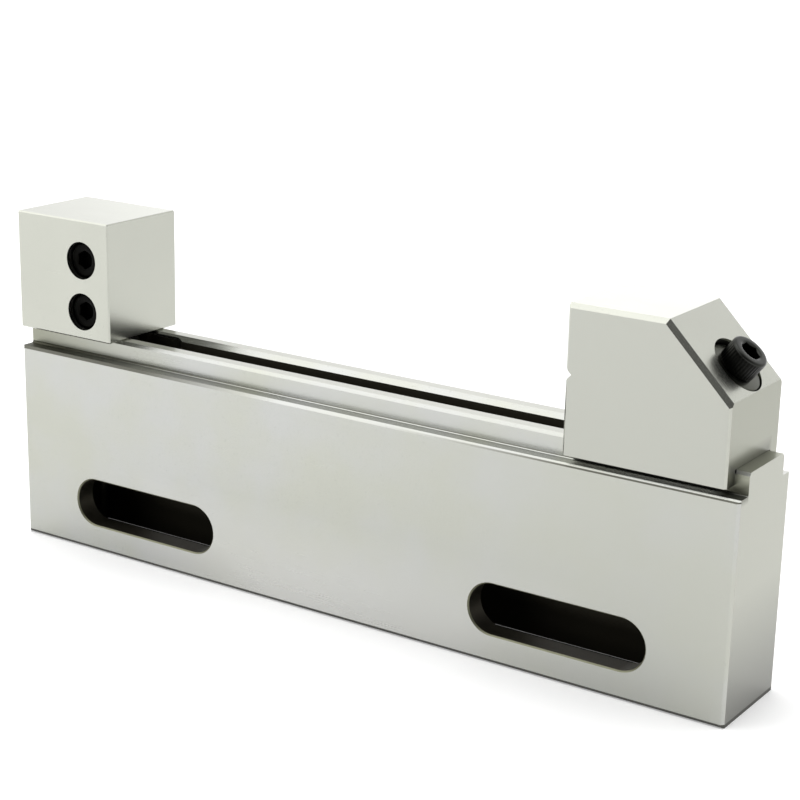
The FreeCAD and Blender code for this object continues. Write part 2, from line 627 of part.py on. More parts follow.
def assemble():
    """Make every piece, put it in its place and return them by node name."""
    body = make_body()
    fixed_jaw = make_fixed_jaw()
    anchor = make_jaw_anchor()
    movable_jaw = make_movable_jaw()
    seat_y = f"sizes.counterbore_depth - {HALF_WIDTH}"
    pieces = [body, fixed_jaw, anchor, movable_jaw]
    for label, height in (("fixed_jaw_screw_upper", JAW_SCREW_HIGH),
                          ("fixed_jaw_screw_lower", JAW_SCREW_LOW)):
        screw = make_cap_screw(label, JAW_SCREW_LENGTH)
        place(screw, JAW_SCREW_X, seat_y, height, FreeCAD.Vector(1, 0, 0), "90")
        pieces.append(screw)

    tilt_axis = FreeCAD.Vector(0, 1, 0)
    washer = make_ball_washer()
    place(washer, PIVOT_X, "0", PIVOT_Z, tilt_axis, REST_ANGLE)
    bar = make_pull_bar()
    place(bar, PIVOT_X, "0", PIVOT_Z, tilt_axis, REST_ANGLE)
    clamp_screw = make_cap_screw("clamp_screw", "sizes.clamp_screw_length")
    place(clamp_screw, f"{PIVOT_X} + sizes.head_play * sin({REST_ANGLE})", "0",
          f"{PIVOT_Z} + sizes.head_play * cos({REST_ANGLE})", tilt_axis, REST_ANGLE)
    return pieces + [washer, bar, clamp_screw]


def check_and_write(pieces):
    """Stop on any failed object or bad solid, then write one STEP file per piece."""
    doc.recompute()
    failed = [item.Name for item in doc.Objects
              if "Invalid" in item.State or "Error" in item.State]
    if failed:
        raise RuntimeError(f"failed objects: {failed}")
    for piece in pieces:
        shape = piece.Shape
        if shape.isNull() or not shape.isValid() or len(shape.Solids) != 1:
            raise RuntimeError(f"bad solid: {piece.Label}")
    for piece in pieces:
        piece.Shape.exportStep(f"parts/{piece.Label}.step")
        print(piece.Label, round(piece.Shape.Volume, 1), piece.Shape.BoundBox)


check_and_write(assemble())
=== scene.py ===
"""Looks of a wire EDM vise: ground steel, black screws, turned steel and a plain pale stage."""

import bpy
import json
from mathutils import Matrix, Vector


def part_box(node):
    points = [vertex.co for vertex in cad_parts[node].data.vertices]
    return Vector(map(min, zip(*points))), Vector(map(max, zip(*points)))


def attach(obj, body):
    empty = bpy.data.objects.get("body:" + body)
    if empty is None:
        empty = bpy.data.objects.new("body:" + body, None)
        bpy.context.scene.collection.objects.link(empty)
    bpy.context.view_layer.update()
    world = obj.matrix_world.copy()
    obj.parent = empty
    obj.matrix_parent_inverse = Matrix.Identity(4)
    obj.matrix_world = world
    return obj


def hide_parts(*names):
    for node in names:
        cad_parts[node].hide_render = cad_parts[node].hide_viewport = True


bl_info = {
    "name": "EDM Vise Looks",
    "version": (1, 0, 0),
    "blender": (4, 5, 0),
    "location": "View3D > Sidebar > EDM Vise",
    "description": "Dresses the vise's steel, screws and washer, and sets up its stage",
    "category": "Object",
}

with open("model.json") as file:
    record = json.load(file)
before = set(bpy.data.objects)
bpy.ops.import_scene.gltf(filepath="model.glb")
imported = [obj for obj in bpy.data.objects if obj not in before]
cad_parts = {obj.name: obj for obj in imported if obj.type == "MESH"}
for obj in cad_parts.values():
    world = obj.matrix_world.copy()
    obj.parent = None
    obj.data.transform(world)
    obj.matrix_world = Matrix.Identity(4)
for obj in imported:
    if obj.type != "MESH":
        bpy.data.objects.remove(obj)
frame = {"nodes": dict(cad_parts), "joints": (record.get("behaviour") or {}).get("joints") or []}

import json
import math

import bmesh
import bpy
import numpy as np
from bpy.props import FloatProperty, FloatVectorProperty, IntProperty, PointerProperty
from mathutils import Matrix, Vector

MM = 0.001

# The clamp screw's line, from the joint that it turns in.
JOINTS = {joint["name"]: joint for joint in frame["joints"]}
PIVOT = Vector(JOINTS["screw_turn"]["pos_m"])
SCREW_OUT = -Vector(JOINTS["screw_turn"]["axis"]).normalized()
SCREW_LEAN = math.atan2(SCREW_OUT.x, SCREW_OUT.z)
HEAD_PLAY = 0.03 * MM
THREAD_LENGTH = 24.0 * MM

# The movable jaw's slope, and how deep the pivot lies below it.
SLOPE_ANGLE = math.radians(45)
PIVOT_SINK = 0.862 * MM

# The body's forms, as built. The side slots and the hollow are taken 0.1 to 0.3 mm larger than
# they are, so that their walls lie inside them. The rail's slot ends where its bevel starts.
LEDGE_TOP = 59.2 * MM
RAIL_SIDE = 10.2 * MM
END_WALL = 9.9 * MM
SLOT_LOW, SLOT_HIGH = 7.3 * MM, 22.7 * MM
HOLLOW_SIDE, HOLLOW_TOP = 8.7 * MM, 58.6 * MM
RAIL_SLOT_SIDE, RAIL_SLOT_TOP = 5.6 * MM, 63.7 * MM

# Just past the bevels of 0.4 mm on the side slots' rims and the fixed jaw.
SMALL_BEVEL = 0.45 * MM

# How far a finish reaches: past the whole vise, or just under a face. A hard border fades over
# one hundredth of a millimetre.
FAR = 1.0
SKIN = 0.02 * MM
SHARP = 0.01 * MM
HARD = (SHARP, SHARP, SHARP)

# How often the grinding marks' noise changes in a metre, along each axis.
GROUND = (60.0, 2600.0, 2600.0)
TURNED = (2200.0, 80.0, 2200.0)
PRESSED = (1500.0, 1500.0, 1500.0)
FINE = (1800.0, 1800.0, 1800.0)

# Where the camera stands: its axes and place, in metres, and the shift of its view.
CAMERA = (
    (0.829638, -0.179748, 0.528575, 0.290592),
    (0.557882, 0.230216, -0.797351, -0.421263),
    (0.021636, 0.956395, 0.291273, 0.209199),
    (0.000000, 0.000000, 0.000000, 1.000000),
)
SHIFT = (-0.005348, 0.028587)

# The lights: the sky's bright side, the two soft lamps and what they face, and the floor's glow.
SKY_BRIGHT = (-0.30, 0.95, 0.10)
KEY_PLACE = (-0.90, -0.48, 1.15)
FRONT_PLACE = (-0.50, -1.10, 0.70)
LAMP_AIM = (0.0, 0.0, 0.05)
KEY_SIZE = 1.2
FRONT_SIZE = 1.0
FLOOR_GLOW = 0.16
FLOOR_HALF = 6.0
FLOOR_DROP = 0.05 * MM


# Settings


class ViseSteel(bpy.types.PropertyGroup):
    """Colours and finishes, painted light and shade among them"""

    steel: FloatVectorProperty(
        name="Ground Steel", description="Colour of the body and both jaws",
        subtype="COLOR", size=3, min=0, max=1, default=(0.443, 0.450, 0.402))
    steel_rough: FloatProperty(
        name="Ground Roughness", description="Gloss of the ground faces",
        min=0, max=1, default=0.25, subtype="FACTOR")
    grain: FloatProperty(
        name="Grain", description="Strength of the grinding marks",
        min=0, max=1, default=0.08, subtype="FACTOR")
    specks: FloatProperty(
        name="Specks", description="Strength of the tiny dark pits",
        min=0, max=1, default=0.10, subtype="FACTOR")
    black: FloatVectorProperty(
        name="Black Oxide", description="Colour of the cap screws",
        subtype="COLOR", size=3, min=0, max=1, default=(0.012, 0.012, 0.011))
    turned: FloatVectorProperty(
        name="Turned Steel", description="Colour of the bar and the anchor",
        subtype="COLOR", size=3, min=0, max=1, default=(0.46, 0.46, 0.44))
    # Painted shade: the body's end face is darker than its front, for the darker surroundings that it
    # mirrors.
    end_face_shade: FloatVectorProperty(
        name="End Face", description="Colour of the body's end face",
        subtype="COLOR", size=3, min=0, max=1, default=(0.385, 0.39, 0.342))
    # Painted shade: the movable jaw's end face is darker, as it lies in shade.
    jaw_end_shade: FloatVectorProperty(
        name="Jaw End", description="Colour of the movable jaw's end face",
        subtype="COLOR", size=3, min=0, max=1, default=(0.312, 0.317, 0.268))
    # The body is darker along its bottom edge; on the movable jaw's end this colour is painted shade at
    # its foot, by the rail.
    foot: FloatVectorProperty(
        name="Foot", description="Colour of the worn feet of the body and of the movable jaw's end",
        subtype="COLOR", size=3, min=0, max=1, default=(0.10, 0.10, 0.09))
    rim: FloatVectorProperty(
        name="Slot Rims", description="Colour of the side slots' rims",
        subtype="COLOR", size=3, min=0, max=1, default=(0.20, 0.20, 0.14))
    washer: FloatVectorProperty(
        name="Washer", description="Colour of the ball washer",
        subtype="COLOR", size=3, min=0, max=1, default=(0.072, 0.074, 0.060))
    # Painted shade: a darker copy of the black oxide for the two screws deep in their counterbores.
    sunk_shade: FloatVectorProperty(
        name="Sunk Screws", description="Colour of the oily screws in their counterbores",
        subtype="COLOR", size=3, min=0, max=1, default=(0.004, 0.004, 0.0035))
    inside: FloatVectorProperty(
        name="Unpolished Steel", description="Colour of the walls cut inside the body",
        subtype="COLOR", size=3, min=0, max=1, default=(0.070, 0.064, 0.048))
    body_cool: FloatVectorProperty(
        name="Body Clouds", description="Cooler colour of the clouds on the body",
        subtype="COLOR", size=3, min=0, max=1, default=(0.440, 0.446, 0.430))
    # Painted shade: the body's long front bevels are dulled at the left and along their foot at the
    # right, and a dark line lies in the crease at the rail's foot.
    edge: FloatVectorProperty(
        name="Edges", description="Colour of the body's long bevels and the line at the rail's foot",
        subtype="COLOR", size=3, min=0, max=1, default=(0.13, 0.13, 0.11))
    # Painted shade: the end face darkens towards its foot, a painted reflection of the shadow on the
    # floor beside it.
    end_low_painted_shade: FloatVectorProperty(
        name="End Face Low", description="Colour that the end face takes on towards its foot",
        subtype="COLOR", size=3, min=0, max=1, default=(0.185, 0.185, 0.175))
    # Painted light: the front face's lower middle is brightened, a painted reflection of bright floor
    # in place of the contact shadow it mirrors.
    front_low_painted_light: FloatVectorProperty(
        name="Front Low", description="Colour of the front face's brighter lower middle",
        subtype="COLOR", size=3, min=0, max=1, default=(0.58, 0.58, 0.56))
    # Painted shade: the front faces at the right, the movable jaw's front among them, are darker, a
    # painted duller reflection there.
    front_right_shade: FloatVectorProperty(
        name="Front Right", description="Colour of the front faces at the right",
        subtype="COLOR", size=3, min=0, max=1, default=(0.405, 0.411, 0.372))
    # The rail's top is darker than the rest of the steel.
    rail_top: FloatVectorProperty(
        name="Rail Top", description="Colour of the rail's worn top",
        subtype="COLOR", size=3, min=0, max=1, default=(0.385, 0.388, 0.350))
    # Painted shade on the rail's sides near its ends, by the jaws, and on its top past the movable
    # jaw's end.
    rail_end_shade: FloatVectorProperty(
        name="Rail End", description="Colour of the rail's ends",
        subtype="COLOR", size=3, min=0, max=1, default=(0.28, 0.285, 0.23))
    # Painted shade on the ledge at the rail's foot: fading out from the left end, and under the movable
    # jaw's skirt at the right end.
    ledge: FloatVectorProperty(
        name="Ledge", description="Colour of the ledge at the rail's foot, towards its ends",
        subtype="COLOR", size=3, min=0, max=1, default=(0.075, 0.075, 0.055))
    # Painted shade: near black on the walls cut inside the jaws and on the movable jaw's underside.
    recess_shade: FloatVectorProperty(
        name="Recesses", description="Colour of the walls cut inside the jaws",
        subtype="COLOR", size=3, min=0, max=1, default=(0.018, 0.018, 0.014))
    worn: FloatVectorProperty(
        name="Worn Black", description="Colour of the clamp screw's worn top",
        subtype="COLOR", size=3, min=0, max=1, default=(0.030, 0.031, 0.028))


class ViseScrews(bpy.types.PropertyGroup):
    """Sizes of the cap screws and the washer"""

    head_radius: FloatProperty(
        name="Head Radius", description="Radius over the knurled side",
        default=5.0 * MM, unit="LENGTH")
    head_height: FloatProperty(
        name="Head Height", description="Height of the head",
        default=6.0 * MM, unit="LENGTH")
    rim_round: FloatProperty(
        name="Rim Rounding", description="Rounding of the head's top rim",
        default=0.7 * MM, unit="LENGTH")
    socket_across: FloatProperty(
        name="Socket", description="Hexagon socket across its flats",
        default=5.0 * MM, unit="LENGTH")
    socket_depth: FloatProperty(
        name="Socket Depth", description="Depth of the hexagon socket",
        default=3.2 * MM, unit="LENGTH")
    knurl_depth: FloatProperty(
        name="Knurl Depth", description="Depth of the knurl's grooves",
        default=0.10 * MM, unit="LENGTH")
    knurl_ridges: IntProperty(
        name="Knurl Ridges", description="Ridges round the head",
        default=36, min=12, max=60)
    shank_radius: FloatProperty(
        name="Shank Radius", description="Radius over the thread's crests",
        default=2.95 * MM, unit="LENGTH")
    thread_pitch: FloatProperty(
        name="Thread Pitch", description="Advance of the thread in one turn",
        default=1.0 * MM, unit="LENGTH")
    thread_depth: FloatProperty(
        name="Thread Depth", description="Crest to root of the thread",
        default=0.55 * MM, unit="LENGTH")
    washer_radius: FloatProperty(
        name="Washer Radius", description="Ball radius of the washer",
        default=7.5 * MM, unit="LENGTH")
    washer_height: FloatProperty(
        name="Washer Height", description="Thickness of the washer",
        default=4.5 * MM, unit="LENGTH")
    washer_hole: FloatProperty(
        name="Washer Hole", description="Radius of the washer's hole",
        default=3.3 * MM, unit="LENGTH")


class ViseStage(bpy.types.PropertyGroup):
    """Floor, lights and camera"""

    floor: FloatVectorProperty(
        name="Floor", description="Colour of the floor and backdrop",
        subtype="COLOR", size=3, min=0, max=1, default=(0.93, 0.93, 0.93))
    sky: FloatProperty(
        name="Sky", description="Strength of the light from all round", default=1.2, min=0)
    sky_dark: FloatProperty(
        name="Dark Side", description="Strength of the light from the front right",
        default=0.10, min=0)
    sky_glow: FloatProperty(
        name="Low Glow", description="Light added low behind the vise, at the left",
        default=1.12, min=0)
    key: FloatProperty(
        name="Key Light", description="Power of the large soft light at the upper left",
        default=5.5, min=0, unit="POWER")
    front: FloatProperty(
        name="Front Light", description="Power of the soft light in front",
        default=4.2, min=0, unit="POWER")
    top: FloatProperty(
        name="Top Light", description="Strength of the broad light straight above",
        default=1.1, min=0)
    top_spread: FloatProperty(
        name="Top Spread", description="Angle that the light straight above fills",
        default=math.radians(50), subtype="ANGLE")
    lens: FloatProperty(
        name="Lens", description="Focal length in millimetres",
        default=87.43, min=10)


# Surfaces


def grid_faces(rows, columns, start):
    """Quads of a grid whose last column joins its first, as corner numbers from start on."""
    row, column = np.meshgrid(np.arange(rows - 1), np.arange(columns), indexing="ij")
    after = (column + 1) % columns
    quads = np.stack([row * columns + column, row * columns + after,
                      (row + 1) * columns + after, (row + 1) * columns + column], axis=-1)
    return quads.reshape(-1, 4) + start


def turned_points(radius, height, columns):
    """Points round the Z axis: the radius and the height are given for each row and column.
    x is the radius times the cosine of the column's angle, y the same with the sine."""
    angle = np.arange(columns) * (2 * math.pi / columns)
    radius = np.broadcast_to(radius, (len(radius), columns))
    height = np.broadcast_to(height, (len(height), columns))
    return np.stack([radius * np.cos(angle), radius * np.sin(angle), height], axis=-1)


def make_piece(name, surfaces, place, material, node, body, sharp=35):
    """Mesh from grids of points that each close round on themselves, put where a node is."""
    points, faces, start = [], [], 0
    for grid in surfaces:
        rows, columns = grid.shape[:2]
        points.append(grid.reshape(-1, 3))
        faces.append(grid_faces(rows, columns, start))
        start += rows * columns
    mesh = bpy.data.meshes.new(name)
    places = np.concatenate(points) @ np.array(place.to_3x3()).T + np.array(place.translation)
    quads = np.concatenate(faces)
    mesh.from_pydata(places.tolist(), [], quads.tolist())
    piece = bpy.data.objects.new(name, mesh)
    bpy.context.scene.collection.objects.link(piece)
    clean_mesh(mesh)
    mesh.polygons.foreach_set("use_smooth", np.ones(len(mesh.polygons), bool))
    mesh.set_sharp_from_angle(angle=math.radians(sharp))
    mesh.materials.append(material)
    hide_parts(node)
    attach(piece, body)


def clean_mesh(mesh):
    """Merge the points that meet at poles and turn every face outwards."""
    shape = bmesh.new()
    shape.from_mesh(mesh)
    bmesh.ops.remove_doubles(shape, verts=shape.verts, dist=1e-6)
    bmesh.ops.dissolve_degenerate(shape, edges=shape.edges, dist=1e-7)
    bmesh.ops.recalc_face_normals(shape, faces=shape.faces)
    shape.to_mesh(mesh)
    shape.free()


def hexagon_radius(across, angle):
    """Radius of a hexagon at an angle: half its width over the cosine of the angle
    to the middle of the nearest flat."""
    flat = (angle + math.pi / 6) % (math.pi / 3) - math.pi / 6
    return across / 2 / np.cos(flat)


def head_surface(sizes, columns=144):
    """Cap screw head from the shank's corner round its side to the socket's floor.
    The side's radius falls by the knurl's depth times a rounded wave in the angle.
    Its rim is a quarter circle, and the socket's rows follow a hexagon's radius."""
    angle = np.arange(columns) * (2 * math.pi / columns)
    roundness = 0.6
    wave = np.abs(np.sin(angle * sizes.knurl_ridges / 2)) ** roundness
    side, top, rounding = sizes.head_radius, sizes.head_height, sizes.rim_round
    knurled = side - sizes.knurl_depth * (1 - wave)
    band, band_top = side - 0.12 * MM, 0.35 * MM
    knurl_foot, knurl_gap = 0.5 * MM, 0.6 * MM
    rim_step = 0.02 * MM
    hexagon = hexagon_radius(sizes.socket_across, angle)
    mouth = sizes.socket_across / 2 / math.cos(math.pi / 6) + 0.22 * MM
    countersink = 0.6
    socket_floor = top - sizes.socket_depth

    rows = [(sizes.shank_radius, 0.0), (side - 0.35 * MM, 0.0), (band, 0.1 * MM),
            (band, band_top), (knurled, knurl_foot)]
    rows += [(knurled, knurl_foot + share * (top - rounding - knurl_gap))
             for share in np.linspace(0.1, 1, 6)]
    rows += [(side - rounding * (1 - np.cos(turn)) - rim_step,
              top - rounding * (1 - np.sin(turn)))
             for turn in np.linspace(0.0, math.pi / 2, 6)]
    rows += [(mouth + 0.15 * MM, top), (mouth, top - rim_step),
             (hexagon, top - rim_step - (mouth - hexagon) * countersink),
             (hexagon, socket_floor), (hexagon * 0.96, socket_floor), (0.0, socket_floor)]
    radius = np.array([np.broadcast_to(across, (columns,)) for across, up in rows])
    height = np.array([np.broadcast_to(up, (columns,)) for across, up in rows])
    return turned_points(radius, height, columns)


def shank_surface(sizes, length, thread, columns=36):
    """Screw shank from under the head to its tip. The radius is the crest's less the
    thread's depth times a triangle wave of the height in pitches less the angle in turns.
    The thread runs out over its last turns below the plain shank, and the tip is a cone."""
    steps_in_pitch = 8
    tip_chamfer = 0.75 * MM
    runout_turns = 1.5
    crest_slope, crest_flat = 2.4, 0.2
    rows = int(round(thread / sizes.thread_pitch * steps_in_pitch)) + 1
    down = np.linspace(thread - length, -length, rows)[:, None]
    angle = np.arange(columns) * (2 * math.pi / columns)
    phase = (down / sizes.thread_pitch - angle / (2 * math.pi)) % 1.0
    flank = np.clip(np.abs(phase - 0.5) * crest_slope - crest_flat, 0, 1)
    runout = np.clip((thread - length - down) / (runout_turns * sizes.thread_pitch), 0, 1)
    radius = sizes.shank_radius - sizes.thread_depth * flank * runout
    tip = sizes.shank_radius - tip_chamfer + (down + length)
    radius = np.minimum(radius, tip)
    height = np.broadcast_to(down, radius.shape)
    plain = np.full((2, columns), sizes.shank_radius)
    plain_height = np.array([[0.0], [thread - length + 0.01 * MM]]) * np.ones((1, columns))
    radius = np.vstack([plain, radius, np.zeros((1, columns))])
    height = np.vstack([plain_height, height, np.full((1, columns), -length)])
    return turned_points(radius, height, columns)


def washer_surface(sizes, columns=96):
    """Ball washer turned from its section: flat top, a small rounded rim, a ball-shaped
    side whose radius is the square root of the ball's squared less the depth squared,
    a flat underside and a chamfered hole, closed on itself."""
    ball, deep, hole = sizes.washer_radius, sizes.washer_height, sizes.washer_hole
    depth = np.linspace(0.35 * MM, deep - 0.15 * MM, 14)
    section = [(hole + 0.3 * MM, 0.0), (ball - 0.45 * MM, 0.0), (ball - 0.2 * MM, -0.06 * MM),
               (ball - 0.06 * MM, -0.18 * MM)]
    section += list(zip(np.sqrt(ball ** 2 - depth ** 2), -depth))
    section += [(math.sqrt(ball ** 2 - deep ** 2) - 0.25 * MM, -deep), (hole + 0.2 * MM, -deep),
                (hole, 0.2 * MM - deep), (hole, -0.3 * MM), (hole + 0.3 * MM, 0.0)]
    radius = np.array([[across] for across, up in section])
    height = np.array([[up] for across, up in section])
    return turned_points(radius, height, columns)


# Node groups


def new_group(name, inputs, outputs):
    """Empty shader group with named inputs (name, type, default) and outputs (name, type)."""
    group = bpy.data.node_groups.new(name, "ShaderNodeTree")
    for label, kind, default in inputs:
        socket = group.interface.new_socket(label, in_out="INPUT", socket_type=kind)
        if default is not None:
            socket.default_value = default
    for label, kind in outputs:
        group.interface.new_socket(label, in_out="OUTPUT", socket_type=kind)
    return group, group.nodes.new("NodeGroupInput"), group.nodes.new("NodeGroupOutput")


def add_node(tree, kind, values=None, **settings):
    """New node with its settings, and values for its inputs by number or name."""
    node = tree.nodes.new(kind)
    for key, setting in settings.items():
        setattr(node, key, setting)
    for key, amount in (values or {}).items():
        node.inputs[key].default_value = amount
    return node


def feed(tree, item, socket):
    """Give an input what it takes: a link from a socket, or a value."""
    if isinstance(item, bpy.types.NodeSocket):
        tree.links.new(item, socket)
    else:
        socket.default_value = item


def combine(tree, operation, *items, clamp=False):
    """Math node whose inputs are each a socket or a number."""
    node = add_node(tree, "ShaderNodeMath", operation=operation, use_clamp=clamp)
    for item, socket in zip(items, node.inputs):
        feed(tree, item, socket)
    return node.outputs[0]


def mix(tree, kind, factor, first, second):
    """Mix of two colours (RGBA) or numbers (FLOAT), each a socket or a value."""
    node = add_node(tree, "ShaderNodeMix", data_type=kind)
    inputs = [socket for socket in node.inputs if socket.enabled]
    for item, socket in zip((factor, first, second), inputs):
        feed(tree, item, socket)
    return next(socket for socket in node.outputs if socket.enabled)


def use_group(tree, group, **values):
    """Place a group in a tree, with values for its inputs. An underscore stands for a space."""
    node = add_node(tree, "ShaderNodeGroup", node_tree=group)
    for label, amount in values.items():
        node.inputs[label.replace("_", " ")].default_value = amount
    return node


def grain_group():
    """Grinding marks: noise squeezed across the marks, so that it makes long fine lines."""
    if "Grinding Marks" in bpy.data.node_groups:
        return bpy.data.node_groups["Grinding Marks"]
    group, start, end = new_group(
        "Grinding Marks",
        [("Stretch", "NodeSocketVector", (60.0, 3000.0, 3000.0)),
         ("Strength", "NodeSocketFloat", 0.3)],
        [("Lines", "NodeSocketFloat"), ("Height", "NodeSocketFloat")])
    place = add_node(group, "ShaderNodeTexCoord")
    stretch = add_node(group, "ShaderNodeVectorMath", operation="MULTIPLY")
    group.links.new(place.outputs["Object"], stretch.inputs[0])
    group.links.new(start.outputs["Stretch"], stretch.inputs[1])
    fine = add_node(group, "ShaderNodeTexNoise", {"Scale": 1.0, "Detail": 3.0, "Roughness": 0.6})
    group.links.new(stretch.outputs[0], fine.inputs["Vector"])
    centred = combine(group, "SUBTRACT", fine.outputs["Fac"], 0.5)
    lines = combine(group, "MULTIPLY", centred, start.outputs["Strength"])
    group.links.new(lines, end.inputs["Lines"])
    group.links.new(fine.outputs["Fac"], end.inputs["Height"])
    return group


def specks_group():
    """Tiny pits and stains: fine noise kept only above a high level, and broad soft clouds."""
    if "Specks And Clouds" in bpy.data.node_groups:
        return bpy.data.node_groups["Specks And Clouds"]
    group, start, end = new_group(
        "Specks And Clouds",
        [("Speck Scale", "NodeSocketFloat", 1600.0), ("Cloud Scale", "NodeSocketFloat", 35.0)],
        [("Specks", "NodeSocketFloat"), ("Clouds", "NodeSocketFloat")])
    place = add_node(group, "ShaderNodeTexCoord")
    dots = add_node(group, "ShaderNodeTexNoise", {"Detail": 1.0, "Roughness": 0.4})
    group.links.new(place.outputs["Object"], dots.inputs["Vector"])
    group.links.new(start.outputs["Speck Scale"], dots.inputs["Scale"])
    keep = add_node(group, "ShaderNodeMapRange",
                    {"From Min": 0.66, "From Max": 0.74, "To Min": 0.0, "To Max": 1.0})
    group.links.new(dots.outputs["Fac"], keep.inputs["Value"])
    clouds = add_node(group, "ShaderNodeTexNoise", {"Detail": 3.0, "Roughness": 0.55})
    group.links.new(place.outputs["Object"], clouds.inputs["Vector"])
    group.links.new(start.outputs["Cloud Scale"], clouds.inputs["Scale"])
    group.links.new(keep.outputs["Result"], end.inputs["Specks"])
    group.links.new(clouds.outputs["Fac"], end.inputs["Clouds"])
    return group


def box_group():
    """How far a point is inside a box turned about Y. Its distance from each middle plane,
    less half the box's size that way, is taken in shares of that way's fade. The mask is a
    half less the greatest of the three, held between zero and one."""
    if "Inside Box" in bpy.data.node_groups:
        return bpy.data.node_groups["Inside Box"]
    group, start, end = new_group(
        "Inside Box",
        [("Middle", "NodeSocketVector", (0.0, 0.0, 0.0)),
         ("Half Size", "NodeSocketVector", (1.0, 1.0, 1.0)),
         ("Fade", "NodeSocketVector", HARD),
         ("Turn", "NodeSocketFloat", 0.0)],
        [("Inside", "NodeSocketFloat")])
    place = add_node(group, "ShaderNodeTexCoord")
    turned = add_node(group, "ShaderNodeVectorRotate", rotation_type="Y_AXIS", invert=True)
    group.links.new(place.outputs["Object"], turned.inputs["Vector"])
    group.links.new(start.outputs["Middle"], turned.inputs["Center"])
    group.links.new(start.outputs["Turn"], turned.inputs["Angle"])
    away = turned.outputs[0]
    for operation, other in (("SUBTRACT", "Middle"), ("ABSOLUTE", None),
                             ("SUBTRACT", "Half Size"), ("DIVIDE", "Fade")):
        step = add_node(group, "ShaderNodeVectorMath", operation=operation)
        group.links.new(away, step.inputs[0])
        if other:
            group.links.new(start.outputs[other], step.inputs[1])
        away = step.outputs[0]
    parts = add_node(group, "ShaderNodeSeparateXYZ")
    group.links.new(away, parts.inputs[0])
    greatest = combine(group, "MAXIMUM", parts.outputs["X"], parts.outputs["Y"])
    greatest = combine(group, "MAXIMUM", greatest, parts.outputs["Z"])
    inside = combine(group, "SUBTRACT", 0.5, greatest, clamp=True)
    group.links.new(inside, end.inputs["Inside"])
    return group


def between(low, high, fade=HARD):
    """Box given by its corners, and the widths over which its mask fades."""
    low, high = Vector(low), Vector(high)
    return {"Middle": (low + high) / 2, "Half_Size": (high - low) / 2, "Fade": fade}


def inside_mask(tree, spaces):
    """One inside any of the spaces, each a list of boxes that all hold the point."""
    mask = None
    for boxes in spaces:
        held = None
        for box in boxes:
            inside = use_group(tree, box_group(), **box).outputs["Inside"]
            held = inside if held is None else combine(tree, "MINIMUM", held, inside)
        mask = held if mask is None else combine(tree, "MAXIMUM", mask, held)
    return mask


def metal(name, colour, rough, stretch, grain, specks, bump, cool=None, finishes=()):
    """Metal whose colour, roughness and bump follow the grinding marks, specks and clouds.
    Its colour is scaled by one plus the marks, plus the clouds from -0.06 to 0.06, less the
    specks. The clouds lead to the cool colour where there is one. Each finish names spaces
    where the metal takes another colour and roughness, and later ones lie over earlier ones."""
    cloud_swing = 0.12
    rough_swing = 0.10
    mark_height = 0.02 * MM
    made = bpy.data.materials.new(name)
    made.use_nodes = True
    tree = made.node_tree
    shader = tree.nodes["Principled BSDF"]
    shader.inputs["Metallic"].default_value = 1.0
    marks = use_group(tree, grain_group(), Stretch=stretch, Strength=grain)
    dirt = use_group(tree, specks_group())
    clouds = dirt.outputs["Clouds"]
    level = combine(tree, "ADD", marks.outputs["Lines"], 1.0)
    clouded = combine(tree, "MULTIPLY_ADD", clouds, cloud_swing, -cloud_swing / 2)
    level = combine(tree, "ADD", level, clouded)
    dots = combine(tree, "MULTIPLY", dirt.outputs["Specks"], -specks)
    level = combine(tree, "ADD", level, dots)
    base = tuple(colour)
    if cool is not None:
        shift = add_node(tree, "ShaderNodeMapRange", {"From Min": 0.38, "From Max": 0.62})
        tree.links.new(clouds, shift.inputs["Value"])
        base = mix(tree, "RGBA", shift.outputs["Result"], (*colour, 1.0), (*cool, 1.0))
    scaled = add_node(tree, "ShaderNodeVectorMath", operation="SCALE")
    feed(tree, base, scaled.inputs[0])
    tree.links.new(level, scaled.inputs["Scale"])
    tint = scaled.outputs[0]
    gloss = combine(tree, "MULTIPLY_ADD", marks.outputs["Height"], rough_swing,
                    rough - rough_swing / 2)
    for spaces, other_colour, other_rough in finishes:
        mask = inside_mask(tree, spaces)
        tint = mix(tree, "RGBA", mask, tint, (*other_colour, 1.0))
        gloss = mix(tree, "FLOAT", mask, gloss, other_rough)
    tree.links.new(tint, shader.inputs["Base Color"])
    tree.links.new(gloss, shader.inputs["Roughness"])
    raised = add_node(tree, "ShaderNodeBump", {"Strength": bump, "Distance": mark_height})
    tree.links.new(marks.outputs["Height"], raised.inputs["Height"])
    tree.links.new(raised.outputs["Normal"], shader.inputs["Normal"])
    return made


# Pieces


def dress(node, material):
    """Give a CAD node's mesh its one material."""
    mesh = frame["nodes"][node].data
    mesh.materials.clear()
    mesh.materials.append(material)


def slab(low, high, fade=HARD):
    """Space of one box, for a list of spaces."""
    return [between(low, high, fade)]


